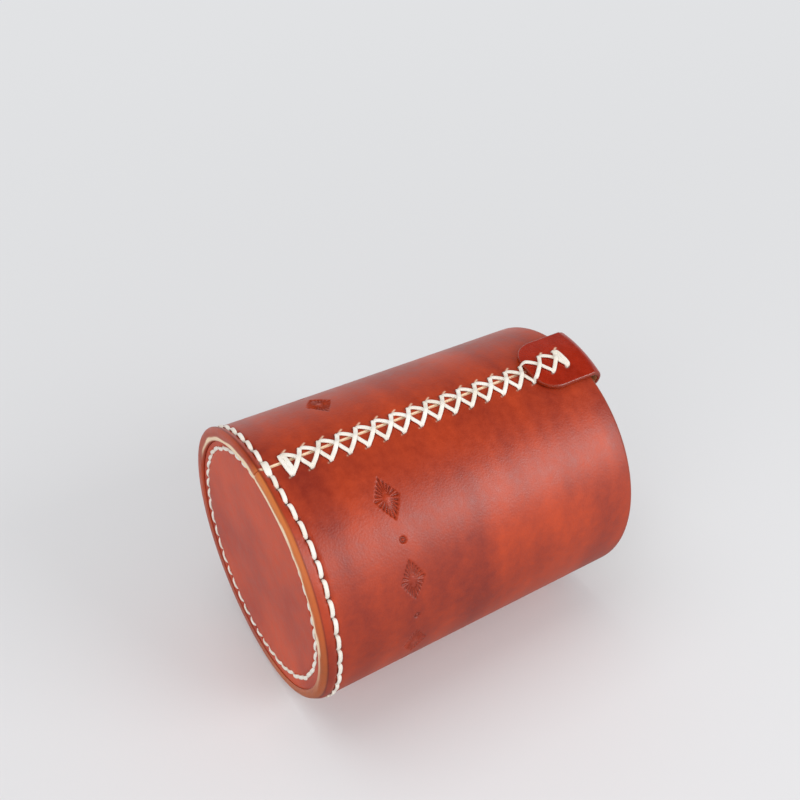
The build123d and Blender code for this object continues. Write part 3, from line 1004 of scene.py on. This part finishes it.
def waxed_braid():
    """Waxed braided thread: off-white, with a soft wax gloss and a fine relief of yarns."""
    material, tree = new_material("waxed_braided_thread")
    place = node(tree, "ShaderNodeTexCoord").outputs["Object"]
    yarns = node(tree, "ShaderNodeTexVoronoi", {"Vector": place, "Scale": 1 / (yarn_size * MM)}, feature="F1")
    soil = node(tree, "ShaderNodeTexNoise", {"Vector": place, "Scale": 1 / (soil_size * MM), "Detail": 3.0})
    tint = node(tree, "ShaderNodeMapRange", {"Value": soil, "From Min": 0.35, "From Max": 0.7})
    whites = {"Factor": tint, "A": linear("#F5F1E9"), "B": linear("#E7DECF")}
    colour = node(tree, "ShaderNodeMix", whites, data_type="RGBA")
    relief = node(tree, "ShaderNodeBump", {"Height": yarns, "Strength": 0.4, "Distance": yarn_depth * MM})
    surface = {"Base Color": colour, "Roughness": 0.5, "Normal": relief, "IOR": 1.45}
    shader = node(tree, "ShaderNodeBsdfPrincipled", surface)
    node(tree, "ShaderNodeOutputMaterial", {"Surface": shader})
    return material


thread_finish = waxed_braid()
print("thread:", thread_finish.name)

# %% Tree that lays a thread along its routes
def new_tree(name, sizes):
    """A Geometry Nodes tree with one geometry in and out and named inputs for its sizes, and these inputs."""
    tree = bpy.data.node_groups.new(name, "GeometryNodeTree")
    for way in ("INPUT", "OUTPUT"):
        tree.interface.new_socket("Geometry", in_out=way, socket_type="NodeSocketGeometry")
    for label, kind in sizes.items():
        tree.interface.new_socket(label, in_out="INPUT", socket_type=f"NodeSocket{kind}")
    return tree, node(tree, "NodeGroupInput").outputs


def thread_tree():
    """Sweep a flat grooved braid along every route, with its flat side across the stored direction."""
    sizes = {"Width": "Float", "Thickness": "Float", "Groove": "Float", "Step": "Float", "Finish": "Material"}
    tree, given = new_tree("laid_thread", sizes)
    routes = node(tree, "GeometryNodeMeshToCurve", {"Mesh": given["Geometry"]})
    routes = node(tree, "GeometryNodeCurveSplineType", {"Curve": routes}, spline_type="CATMULL_ROM")
    thick = node(tree, "GeometryNodeInputNamedAttribute", {"Name": "fullness"}, data_type="FLOAT")
    routes = node(tree, "GeometryNodeSetCurveRadius", {"Curve": routes, "Radius": thick})
    steps = {"Curve": routes, "Length": given["Step"]}
    routes = node(tree, "GeometryNodeResampleCurve", steps, mode="LENGTH")
    across = node(tree, "GeometryNodeInputNamedAttribute", {"Name": "across"}, data_type="FLOAT_VECTOR")
    tangent = node(tree, "GeometryNodeInputTangent")
    upper = node(tree, "ShaderNodeVectorMath", {0: across, 1: tangent}, operation="CROSS_PRODUCT")
    routes = node(tree, "GeometryNodeSetCurveNormal", {"Curve": routes, "Normal": upper}, mode="FREE")

    # Section: a circle, flattened, with a groove along its middle on both sides
    ring = node(tree, "GeometryNodeCurvePrimitiveCircle", {"Resolution": 14, "Radius": 0.5}, mode="RADIUS")
    spot = node(tree, "ShaderNodeSeparateXYZ", {0: node(tree, "GeometryNodeInputPosition")})
    off_middle = node(tree, "ShaderNodeMath", {0: spot.outputs["Y"], 1: 5.0}, operation="MULTIPLY")
    hollow = node(tree, "ShaderNodeMath", {0: off_middle, 1: 2.0}, operation="POWER")
    hollow = node(tree, "ShaderNodeMath", {0: hollow, 1: 1.0}, operation="ADD")
    hollow = node(tree, "ShaderNodeMath", {0: 1.0, 1: hollow}, operation="DIVIDE")
    flatter = node(tree, "ShaderNodeMath", {0: hollow, 1: given["Groove"]}, operation="MULTIPLY")
    flatter = node(tree, "ShaderNodeMath", {0: 1.0, 1: flatter}, operation="SUBTRACT")
    deep = node(tree, "ShaderNodeMath", {0: spot.outputs["X"], 1: given["Thickness"]}, operation="MULTIPLY")
    deep = node(tree, "ShaderNodeMath", {0: deep, 1: flatter}, operation="MULTIPLY")
    wide = node(tree, "ShaderNodeMath", {0: spot.outputs["Y"], 1: given["Width"]}, operation="MULTIPLY")
    shape = node(tree, "ShaderNodeCombineXYZ", {"X": deep, "Y": wide})
    ring = node(tree, "GeometryNodeSetPosition", {"Geometry": ring, "Position": shape})

    braid = node(tree, "GeometryNodeCurveToMesh", {"Curve": routes, "Profile Curve": ring, "Fill Caps": True})
    braid = node(tree, "GeometryNodeRealizeInstances", {"Geometry": braid})
    braid = node(tree, "GeometryNodeSetMaterial", {"Geometry": braid, "Material": given["Finish"]})
    node(tree, "NodeGroupOutput", {"Geometry": braid})
    return tree


laid_thread = thread_tree()
print("inputs:", ", ".join(item.name for item in laid_thread.interface.items_tree if item.in_out == "INPUT"))

# %% Run the tree on routes
def route_host(name, routes):
    """A mesh of edges for a list of routes, each with points in metres, fullness and a direction across."""
    points = np.vstack([route[0] for route in routes])
    starts = np.cumsum([0] + [len(route[0]) for route in routes])
    edges = [(place, place + 1) for start, end in zip(starts, starts[1:]) for place in range(start, end - 1)]
    mesh = bpy.data.meshes.new(name)
    mesh.from_pydata(points.tolist(), edges, [])
    fullness = np.concatenate([route[1] for route in routes])
    across = np.vstack([np.broadcast_to(route[2], route[0].shape) for route in routes])
    mesh.attributes.new("fullness", "FLOAT", "POINT").data.foreach_set("value", fullness.ravel())
    mesh.attributes.new("across", "FLOAT_VECTOR", "POINT").data.foreach_set("vector", across.ravel())
    host = bpy.data.objects.new(name, mesh)
    scene.collection.objects.link(host)
    return host


def thread_piece(name, routes, sizes):
    """A finished piece of thread along its routes, smooth and facing outwards."""
    host = route_host(f"{name}_routes", routes)
    modifier = host.modifiers.new("laid_thread", "NODES")
    modifier.node_group = laid_thread
    for item in laid_thread.interface.items_tree:
        if item.in_out == "INPUT" and item.name in sizes:
            modifier[item.identifier] = sizes[item.name]
    evaluated = host.evaluated_get(bpy.context.evaluated_depsgraph_get())
    mesh = bpy.data.meshes.new_from_object(evaluated)
    host.modifiers.remove(modifier)
    bpy.data.objects.remove(host)
    shell = bmesh.new()
    shell.from_mesh(mesh)
    bmesh.ops.recalc_face_normals(shell, faces=shell.faces)
    shell.to_mesh(mesh)
    shell.free()
    mesh.shade_smooth()
    mesh.name = name
    piece = bpy.data.objects.new(name, mesh)
    scene.collection.objects.link(piece)
    print(f"{name}: {sum(len(face.vertices) - 2 for face in mesh.polygons)} triangles")
    return piece


def unit(vector):
    """A direction of length 1."""
    return np.asarray(vector) / np.linalg.norm(vector)


print("routes become pieces of thread by these helpers")

# %% [markdown]
# ## Lacing
#
# One thread with a needle at each end climbs the seam: it crosses outside between one pair of slits and the
# next, runs straight across inside, and is doubled at the first and last pairs. The strands that climb from
# the right-hand row to the left-hand row lie on top. Each route starts inside the leather, comes up through
# its slit, follows the curve of the wall, and goes down again. Over the tab it steps up by the strap's
# thickness.

# %% Routes of the lacing
lacing_width, lacing_thickness = 1.3, 0.8
lie = lacing_thickness / 2 + seat_gap
crossing_rise, under_bow, over_bow, double_shift = 0.65, 1.3, 0.7, 0.6
tab_edge = tab_back + 0.8  # height from which a strand lies on the tab
strand_shares = np.array([0, 0, 0.07, 0.28, 0.5, 0.72, 0.93, 1, 1])
strand_lifts = np.array([-1.7, -0.4, 0.8 * lie, lie, lie, lie, 0.8 * lie, -0.4, -1.7])
strand_fullness = np.array([0.5, 0.55, 0.8, 1, 1, 1, 0.8, 0.55, 0.5])


def across_seam(row_from, row_to, side):
    """Arc lengths and heights along a strand, from a slit on one side to a slit on the other."""
    start, end = np.array(lacing_slit(row_from, side)), np.array(lacing_slit(row_to, -side))
    return start[:, None] + (end - start)[:, None] * strand_shares


def strand(row_from, row_to, side, rise, bow, shift=0.0):
    """Route over the outside of the seam, bowed upwards, and raised where it crosses another."""
    arcs, heights = across_seam(row_from, row_to, side)
    arch = strand_shares * (1 - strand_shares) ** (2 if side < 0 else 1)
    heights = heights + bow * arch / arch.max()
    heights = heights + shift * np.minimum(1, 6 * np.minimum(strand_shares, 1 - strand_shares) + 0.25)
    skins = np.where(heights > tab_edge, tab_radius, outer_radius)
    lifts = strand_lifts + rise * (strand_shares == 0.5)
    points = at(skins + lifts, arc_angle(arcs), heights)
    outwards = at(1, arc_angle(arcs[len(arcs) // 2]), 0)
    return points, strand_fullness, unit(np.cross(points[-1] - points[0], outwards))


def inside_bar(row):
    """Route straight across the inside of the seam at a row."""
    skin = outer_radius - wall_thickness - (tab_radius - outer_radius if row in tab_rows else 0)
    arcs, heights = across_seam(row, row, 1)
    return at(skin - strand_lifts, arc_angle(arcs), heights), strand_fullness, np.array([0.0, 0.0, 1.0])


routes = [strand(row, row + 1, -1, 0.0, under_bow) for row in range(last_row)]
routes += [strand(row, row + 1, 1, crossing_rise, over_bow) for row in range(last_row)]
for row in (0, last_row):
    routes += [strand(row, row, -1, 0.0, 0.0, shift) for shift in (-double_shift, double_shift)]
routes += [inside_bar(row) for row in range(lacing_rows)]
braid_sizes = {
    "Width": lacing_width * MM,
    "Thickness": lacing_thickness * MM,
    "Groove": 0.22,
    "Step": 0.35 * MM,
    "Finish": thread_finish,
}
lacing = thread_piece("crossed_lacing", routes, braid_sizes)

# %% [markdown]
# ## Base stitches
#
# The box stitch shows as a ring of short slanting stitches on the wall and a ring of thinner ones under the
# disc. Each stitch dives into its two slits and swells between them. Copies of one stitch round the axis
# would be simpler, but the slits aren't even, so the thread tree lays each stitch along a route of its own.
# The stitch over the seam is doubled, and those under the disc are pulled down into a groove.

# %% Routes of the base stitches
stitch_width, stitch_thickness, stitch_slant = 1.25, 0.75, 0.25
stitch_cover, seam_cover, seam_shift = 0.86, 1.0, 0.35
under_share = 0.9
stitch_shares = np.array([0, 0.06, 0.25, 0.5, 0.75, 0.94, 1])
stitch_fullness = np.array([0.35, 0.6, 1.0, 0.95, 0.7, 0.35, 0.25])
stitch_lifts = np.array([-1.2, -0.4, 0.15, 0.25, 0.15, -0.4, -1.2])


def stitch_between(number, cover):
    """Angles and heights along a stitch from one slit to the next, covering a share of the way."""
    shares = 0.5 + cover * (stitch_shares - 0.5)
    turn = from_seam(slit_angles[number] - slit_angles[number - 1])
    climb = slit_heights[number] - slit_heights[number - 1]
    return slit_angles[number - 1] + turn * shares, slit_heights[number - 1] + climb * shares


def outside_stitch(number, cover, shift=0.0):
    """Route of a stitch on the wall, slanting down to the right."""
    angles, heights = stitch_between(number, cover)
    points = at(outer_radius + stitch_lifts, angles, heights + stitch_slant * (1 - 2 * stitch_shares) + shift)
    return points, stitch_fullness, unit(np.cross(points[-1] - points[0], at(1, angles.mean(), 0)))


def inside_stitch(number):
    """Route of a thinner stitch under the disc, as uneven as a hand pulls it."""
    angles, _ = stitch_between(number, hand.uniform(0.75, 1.05))
    radii = under_ring(angles) + hand.uniform(-0.2, 0.2) + hand.uniform(-0.3, 0.7) * (0.5 - stitch_shares)
    heights = disc_under - disc_tilt(angles) + stitch_lifts.max() - stitch_lifts
    fullness = under_share * hand.uniform(0.85, 1.15) * stitch_fullness
    return at(radii, angles, heights), fullness, unit(at(1, angles.mean(), 0))


routes = [outside_stitch(number, stitch_cover) for number in range(1, stitch_count)]
routes += [outside_stitch(0, seam_cover, shift) for shift in (-seam_shift, seam_shift)]
routes += [inside_stitch(number) for number in range(stitch_count)]
stitch_sizes = {**braid_sizes, "Width": stitch_width * MM, "Thickness": stitch_thickness * MM}
stitching = thread_piece("box_stitching", routes, stitch_sizes)

# %% [markdown]
# ## Join the pieces to the frame
#
# Nothing on the cup moves, so every piece rides on its one body. Each piece stands for the solid of the same
# part, which stays in the physics model but is hidden here.

# %% Ride and replace
for piece, part, slot in (
    (wall_leather, "wall", "wall_leather"),
    (base_leather, "base_disc", "disc_leather"),
    (tab_leather, "rim_tab", "tab_leather"),
    (lacing, "seam_lacing", "lacing_thread"),
    (stitching, "base_stitching", "stitch_thread"),
):
    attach(piece, "root")
    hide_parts(part)
    print(piece.name, "stands for", part)

# %% Sizes at the end
dressed_box = [list(corner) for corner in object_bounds()]
for name, box in (("packed", cad_box), ("dressed", dressed_box)):
    print(name, "box in mm:", [[round(value / MM, 1) for value in corner] for corner in box])
